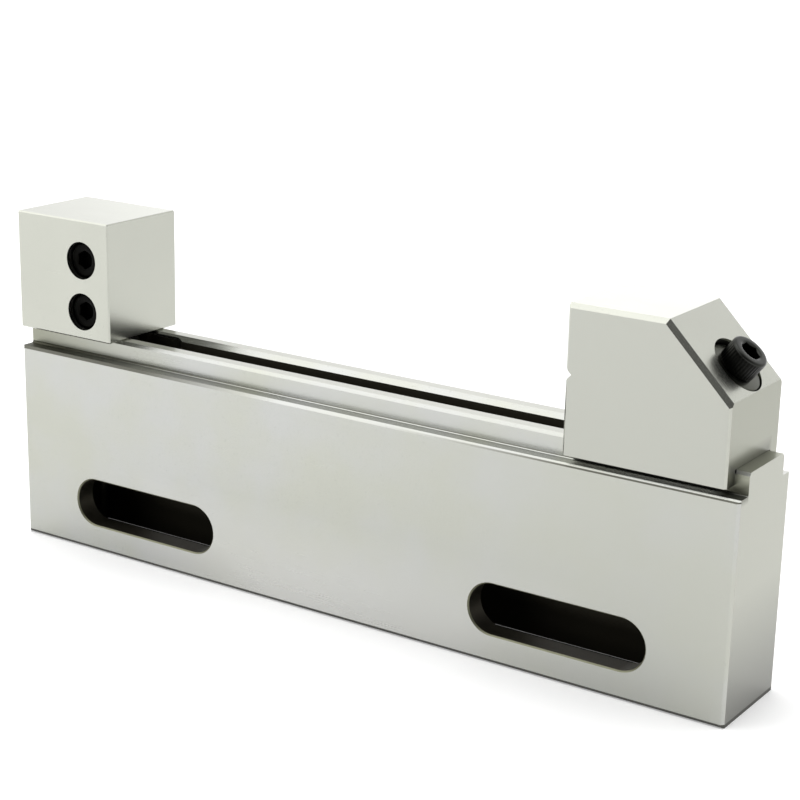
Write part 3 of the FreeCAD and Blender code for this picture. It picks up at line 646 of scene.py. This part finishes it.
def body_finishes(steel):
    """Where the body isn't plain: painted light on the lower middle of its front, and painted shade on
    its front at the right, its end face, long bevels, the rail's side and end and the ledge at its
    foot; a darker foot and rail top; and cut inner walls."""
    low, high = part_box("body")
    front, end = low.y + SKIN, high.x - SKIN
    side, slot_side = high.y - SKIN, high.y - SMALL_BEVEL
    hollow = high.x - END_WALL
    rail_front, rail_back = -RAIL_SIDE - SKIN, -RAIL_SIDE + SKIN
    rail_foot, rail_shoulder = LEDGE_TOP + 0.4 * MM, high.z - 0.9 * MM
    last = high.x - 6 * MM
    chamfer = high.x - 4 * MM
    bevel_foot, bevel_back = LEDGE_TOP - 0.8 * MM, -RAIL_SIDE - 3.8 * MM

    # Painted light on the front face's lower middle.
    front_low_painted_light = slab((-45 * MM, -FAR, -FAR), (50 * MM, front, 14 * MM),
                     (60 * MM, SHARP, 30 * MM))
    # Painted shade on the front face towards the right.
    front_right_shade = slab((65 * MM, -FAR, -FAR), (end, front, FAR), (150 * MM, SHARP, SHARP))
    # Painted shade over the whole end face.
    end_face_shade = slab((end, -FAR, 0), (FAR, FAR, FAR))
    # Painted shade fading up the end face from its foot.
    end_low_painted_shade = slab((end, -FAR, -FAR), (FAR, FAR, 14 * MM), (SHARP, SHARP, 40 * MM))
    # The body's bottom edge, darker.
    foot = slab((-FAR, -FAR, SKIN), (FAR, FAR, 1.0 * MM))
    # Painted shade in the crease at the rail's foot and on the long front bevels.
    rail_crease_shade = slab((-FAR, -RAIL_SIDE - 0.6 * MM, LEDGE_TOP + 0.17 * MM),
                     (FAR, -RAIL_SIDE - SHARP, LEDGE_TOP + 0.41 * MM))
    bevel_left_shade = slab((-FAR, -FAR, bevel_foot), (-45 * MM, bevel_back, LEDGE_TOP + 0.05 * MM),
                      (50 * MM, SHARP, SHARP))
    bevel_right_shade = slab((40 * MM, -FAR, bevel_foot), (FAR, bevel_back, LEDGE_TOP - 0.42 * MM),
                       (60 * MM, SHARP, SHARP))
    # Painted shade on the rail's sides near the fixed jaw and at the right end.
    rail_left_shade = slab((-FAR, rail_front, rail_foot), (-85 * MM, rail_back, rail_shoulder),
                     (60 * MM, SHARP, SHARP))
    rail_right_shade = slab((last, rail_front, rail_foot), (end, rail_back, rail_shoulder))
    # The rail's darker top.
    rail_top = slab((-FAR, -RAIL_SIDE, high.z - 0.05 * MM), (chamfer, RAIL_SIDE, high.z + MM))
    # Painted shade on the rail's top past the movable jaw's end.
    rail_chamfer_shade = slab((chamfer, -RAIL_SIDE, high.z - 0.1 * MM), (end, RAIL_SIDE, high.z + MM))
    # Painted shade on the ledge at the rail's foot.
    ledge_left_shade = slab((-FAR, -RAIL_SIDE - 3.9 * MM, LEDGE_TOP - 0.1 * MM),
                      (-60 * MM, rail_back, LEDGE_TOP + 0.7 * MM), (90 * MM, SHARP, SHARP))
    ledge_right_shade = slab((last, bevel_back, LEDGE_TOP - 0.3 * MM),
                       (end, rail_back, LEDGE_TOP + 2.5 * MM), (6 * MM, SHARP, 3 * MM))
    slot_rims = slab((-hollow, -side, SLOT_LOW), (hollow, side, SLOT_HIGH))
    slots = slab((-hollow, -slot_side, SLOT_LOW), (hollow, slot_side, SLOT_HIGH))
    channel = slab((-hollow, -HOLLOW_SIDE, SKIN), (hollow, HOLLOW_SIDE, HOLLOW_TOP))
    rail_slot = slab((-hollow, -RAIL_SLOT_SIDE, 50 * MM),
                     (hollow, RAIL_SLOT_SIDE, RAIL_SLOT_TOP))
    return [
        ([front_low_painted_light], steel.front_low_painted_light, 0.28),
        ([front_right_shade], steel.front_right_shade, 0.26),
        ([end_face_shade], steel.end_face_shade, 0.30),
        ([end_low_painted_shade], steel.end_low_painted_shade, 0.35),
        ([foot], steel.foot, 0.5),
        ([rail_crease_shade, bevel_left_shade, bevel_right_shade], steel.edge, 0.5),
        ([rail_left_shade, rail_right_shade], steel.rail_end_shade, 0.35),
        ([rail_top], steel.rail_top, 0.30),
        ([ledge_left_shade, ledge_right_shade], steel.ledge, 0.5),
        ([rail_chamfer_shade], steel.rail_end_shade, 0.35),
        ([slot_rims], steel.rim, 0.5),
        ([channel, rail_slot, slots], steel.inside, 0.5),
    ]


def jaw_finishes(steel):
    """Where the movable jaw isn't plain: painted shade on its front, its end face and that face's foot,
    its underside, and the walls cut inside it, which lie deeper than a skin below its faces and its
    slope."""
    low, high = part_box("movable_jaw")
    end = high.x - SKIN
    skin = 0.7 * MM
    groove_depth = 1.7 * MM
    depth = 40 * MM
    # Painted shade on the movable jaw's front, in the colour of the front faces at the right.
    front = slab((-FAR, -FAR, 0), (FAR, low.y + SKIN, FAR))
    # Painted shade over the jaw's end face.
    end_face_shade = slab((end, -FAR, 0), (FAR, FAR, FAR))
    # Painted shade at the foot of the jaw's end face, next to the rail.
    end_foot_shade = slab((end, -12.5 * MM, -FAR), (FAR, 9 * MM, 66 * MM), (SHARP, 4 * MM, 6 * MM))
    # Painted shade on the jaw's underside and on the walls cut inside it.
    underside = slab((-FAR, -FAR, 0), (FAR, FAR, low.z + SKIN))
    within = between(low + Vector((groove_depth, skin, -skin)), high - Vector((skin, skin, skin)))
    below_slope = {
        "Middle": PIVOT + Vector((1, 0, 1)).normalized() * (PIVOT_SINK - skin - depth),
        "Half_Size": Vector((FAR, FAR, depth)), "Turn": SLOPE_ANGLE}
    return [
        ([front], steel.front_right_shade, 0.26),
        ([end_face_shade], steel.jaw_end_shade, 0.32),
        ([end_foot_shade], steel.foot, 0.4),
        ([underside], steel.recess_shade, 0.5),
        ([[within, below_slope]], steel.recess_shade, 0.5),
    ]


def fixed_jaw_finishes(steel):
    """Where the fixed jaw isn't plain: painted shade on the walls of its holes, which fades in from the
    front.
    """
    low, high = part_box("fixed_jaw")
    low = low + Vector((SMALL_BEVEL, 1.2 * MM, SMALL_BEVEL))
    high = high - Vector((SMALL_BEVEL, SMALL_BEVEL, SMALL_BEVEL))
    # Painted shade that deepens into the holes from the front.
    return [([slab(low, high, (SHARP, 1.4 * MM, SHARP))], steel.recess_shade, 0.5)]


class EDMVISE_OT_ground_steel(bpy.types.Operator):
    """Give the body and both jaws their ground steel, with painted light and shade"""

    bl_idname = "edmvise.ground_steel"
    bl_label = "Ground Steel"

    def execute(self, context):
        steel = context.scene.vise_steel
        for node, cool, finishes in (("body", steel.body_cool, body_finishes(steel)),
                                     ("fixed_jaw", None, fixed_jaw_finishes(steel)),
                                     ("movable_jaw", None, jaw_finishes(steel))):
            ground = metal(node + "_steel", steel.steel, steel.steel_rough, GROUND,
                           steel.grain, steel.specks, 0.06, cool=cool, finishes=finishes)
            dress(node, ground)
        return {"FINISHED"}


class EDMVISE_OT_inner_parts(bpy.types.Operator):
    """Give the pull bar and the jaw anchor their turned and milled steel"""

    bl_idname = "edmvise.inner_parts"
    bl_label = "Pull Bar and Anchor"

    def execute(self, context):
        steel = context.scene.vise_steel
        turned = metal("turned_steel", steel.turned, 0.34, TURNED, 0.35, 0.2, 0.3)
        dress("pull_bar", turned)
        dress("jaw_anchor", turned)
        return {"FINISHED"}


class EDMVISE_OT_cap_screws(bpy.types.Operator):
    """Make the clamp screw and the fixed jaw's two screws, knurled and threaded"""

    bl_idname = "edmvise.cap_screws"
    bl_label = "Cap Screws"

    def execute(self, context):
        sizes = context.scene.vise_screws
        steel = context.scene.vise_steel
        worn_top = {"Middle": PIVOT + SCREW_OUT * (sizes.head_height + 4.4 * MM),
                    "Half_Size": Vector((6, 6, 5)) * MM, "Turn": SCREW_LEAN}
        black = metal("black_oxide", steel.black, 0.34, PRESSED, 0.4, 0.1, 0.2,
                      finishes=[([[worn_top]], steel.worn, 0.30)])
        # Painted shade: the sunk screws get a darker copy of the black oxide.
        sunk_shade = metal("shaded_sunk_black_oxide", steel.sunk_shade, 0.45, PRESSED, 0.4, 0.1, 0.2)
        head = head_surface(sizes)
        plain_shank = 1.5 * MM
        for node in ("fixed_jaw_screw_upper", "fixed_jaw_screw_lower"):
            low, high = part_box(node)
            seat = low.y + sizes.head_height
            length = high.y - seat
            middle = Vector(((low.x + high.x) / 2, seat, (low.z + high.z) / 2))
            place = Matrix.Translation(middle) @ Matrix.Rotation(math.radians(90), 4, "X")
            shank = shank_surface(sizes, length, length - plain_shank)
            make_piece(node + "_turned", [head, shank], place, sunk_shade, node, "base")
        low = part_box("clamp_screw")[0]
        reach = PIVOT.z - low.z - sizes.shank_radius * math.sin(SCREW_LEAN)
        length = round(reach / math.cos(SCREW_LEAN) / MM) * MM
        seat = PIVOT + SCREW_OUT * HEAD_PLAY
        place = Matrix.Translation(seat) @ Matrix.Rotation(SCREW_LEAN, 4, "Y")
        shank = shank_surface(sizes, length, THREAD_LENGTH)
        make_piece("clamp_screw_turned", [head, shank], place, black,
                   "clamp_screw", "screw")
        return {"FINISHED"}


class EDMVISE_OT_ball_washer(bpy.types.Operator):
    """Make the ball washer under the clamp screw's head"""

    bl_idname = "edmvise.ball_washer"
    bl_label = "Ball Washer"

    def execute(self, context):
        steel = context.scene.vise_steel
        turned = metal("washer_steel", steel.washer, 0.30, FINE, 0.2, 0.1, 0.15)
        place = Matrix.Translation(PIVOT) @ Matrix.Rotation(SCREW_LEAN, 4, "Y")
        surface = washer_surface(context.scene.vise_screws)
        make_piece("ball_washer_turned", [surface], place, turned,
                   "ball_washer", "rocker")
        return {"FINISHED"}


# Stage


def add_area(name, place, aim, size, power):
    """Square soft light at a place, turned to face a point."""
    lamp = bpy.data.lights.new(name, "AREA")
    lamp.shape = "SQUARE"
    lamp.size = size
    lamp.energy = power
    light = bpy.data.objects.new(name, lamp)
    light.location = place
    light.rotation_euler = (Vector(aim) - Vector(place)).to_track_quat("-Z", "Y").to_euler()
    bpy.context.scene.collection.objects.link(light)


def add_sun(name, strength, spread):
    """Broad light from straight above, which fills the angle given."""
    lamp = bpy.data.lights.new(name, "SUN")
    lamp.energy = strength
    lamp.angle = spread
    bpy.context.scene.collection.objects.link(bpy.data.objects.new(name, lamp))


def ramp(tree, source, low, high, low_value, high_value):
    """Smooth step of a socket between two levels."""
    node = add_node(tree, "ShaderNodeMapRange",
                    {"From Min": low, "From Max": high, "To Min": low_value, "To Max": high_value},
                    interpolation_type="SMOOTHSTEP")
    tree.links.new(source, node.inputs["Value"])
    return node.outputs["Result"]


def light_sky(world, stage):
    """Pale studio light from all round: even behind the vise, brighter low at its back left,
    and dark towards its front right."""
    world.use_nodes = True
    tree = world.node_tree
    sky = tree.nodes["Background"]
    sky.inputs["Color"].default_value = (1.0, 1.0, 1.0, 1.0)
    direction = add_node(tree, "ShaderNodeTexCoord").outputs["Generated"]
    facing = add_node(tree, "ShaderNodeVectorMath", operation="DOT_PRODUCT")
    tree.links.new(direction, facing.inputs[0])
    facing.inputs[1].default_value = Vector(SKY_BRIGHT).normalized()
    height = add_node(tree, "ShaderNodeSeparateXYZ")
    tree.links.new(direction, height.inputs[0])
    dark_side, bright_side = -0.65, 0.45
    glow_edge, glow_core = 0.85, 0.99
    glow_height, glow_end, glow_above = 0.23, 0.30, 0.1
    even = ramp(tree, facing.outputs["Value"], dark_side, bright_side,
                stage.sky_dark, stage.sky)
    glow = ramp(tree, facing.outputs["Value"], glow_edge, glow_core, 0.0, stage.sky_glow)
    low = ramp(tree, height.outputs["Z"], glow_height, glow_end, 1.0, glow_above)
    tree.links.new(combine(tree, "ADD", even, combine(tree, "MULTIPLY", glow, low)),
                   sky.inputs["Strength"])


def floor_material(colour):
    """Pale floor that glows faintly, with painted shade under the hollow body: dark there, and without
    the glow.
    """
    made = bpy.data.materials.new("pale_floor")
    made.use_nodes = True
    tree = made.node_tree
    shader = tree.nodes["Principled BSDF"]
    # Painted shade: a dark patch without glow on the floor under the hollow body.
    hollow = Vector((107, 8.5, 10)) * MM
    mask = inside_mask(tree, [slab(-hollow, hollow)])
    dark, white, black = (0.02, 0.02, 0.015, 1.0), (1.0, 1.0, 1.0, 1.0), (0.0, 0.0, 0.0, 1.0)
    tree.links.new(mix(tree, "RGBA", mask, (*colour, 1.0), dark), shader.inputs["Base Color"])
    tree.links.new(mix(tree, "RGBA", mask, white, black), shader.inputs["Emission Color"])
    shader.inputs["Emission Strength"].default_value = FLOOR_GLOW
    shader.inputs["Roughness"].default_value = 0.9
    return made


class EDMVISE_OT_stage(bpy.types.Operator):
    """Set up the floor, the soft lights and the camera"""

    bl_idname = "edmvise.stage"
    bl_label = "Stage"

    def execute(self, context):
        stage = context.scene.vise_stage
        mesh = bpy.data.meshes.new("floor")
        corners = [(x * FLOOR_HALF, y * FLOOR_HALF, 0) for x, y in ((-1, -1), (1, -1), (1, 1), (-1, 1))]
        mesh.from_pydata(corners, [], [(0, 1, 2, 3)])
        floor = bpy.data.objects.new("floor", mesh)
        floor.location.z = -FLOOR_DROP
        context.scene.collection.objects.link(floor)
        mesh.materials.append(floor_material(stage.floor))

        world = context.scene.world or bpy.data.worlds.new("sky")
        context.scene.world = world
        light_sky(world, stage)
        add_area("key", KEY_PLACE, LAMP_AIM, KEY_SIZE, stage.key)
        add_area("front", FRONT_PLACE, LAMP_AIM, FRONT_SIZE, stage.front)
        add_sun("top", stage.top, stage.top_spread)

        camera = bpy.data.objects.new("camera", bpy.data.cameras.new("camera"))
        context.scene.collection.objects.link(camera)
        camera.data.lens = stage.lens
        camera.data.sensor_width = 36.0
        camera.data.shift_x = SHIFT[0]
        camera.data.shift_y = SHIFT[1]
        camera.data.clip_start = 0.01
        camera.data.clip_end = 50.0
        camera.matrix_world = Matrix(CAMERA)
        context.scene.camera = camera
        context.scene.view_settings.view_transform = "Standard"
        return {"FINISHED"}


class EDMVISE_PT_panel(bpy.types.Panel):
    """Buttons for every group of pieces"""

    bl_idname = "EDMVISE_PT_panel"
    bl_label = "EDM Vise"
    bl_space_type = "VIEW_3D"
    bl_region_type = "UI"
    bl_category = "EDM Vise"

    def draw(self, context):
        scene = context.scene
        for settings in (scene.vise_steel, scene.vise_screws, scene.vise_stage):
            box = self.layout.box()
            for name in settings.bl_rna.properties.keys():
                if name not in ("rna_type", "name"):
                    box.prop(settings, name)
        for operator in OPERATORS:
            self.layout.operator(operator.bl_idname)


SETTINGS = {"vise_steel": ViseSteel, "vise_screws": ViseScrews, "vise_stage": ViseStage}
OPERATORS = (EDMVISE_OT_ground_steel, EDMVISE_OT_inner_parts, EDMVISE_OT_cap_screws,
             EDMVISE_OT_ball_washer, EDMVISE_OT_stage)


def register():
    for item in (*SETTINGS.values(), *OPERATORS, EDMVISE_PT_panel):
        bpy.utils.register_class(item)
    for name, group in SETTINGS.items():
        setattr(bpy.types.Scene, name, PointerProperty(type=group))


def unregister():
    for name in SETTINGS:
        delattr(bpy.types.Scene, name)
    for item in reversed((*SETTINGS.values(), *OPERATORS, EDMVISE_PT_panel)):
        bpy.utils.unregister_class(item)


def main():
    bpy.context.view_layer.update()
    register()
    bpy.ops.edmvise.ground_steel()
    bpy.ops.edmvise.inner_parts()
    bpy.ops.edmvise.cap_screws()
    bpy.ops.edmvise.ball_washer()
    bpy.ops.edmvise.stage()


if __name__ == "__main__":
    main()
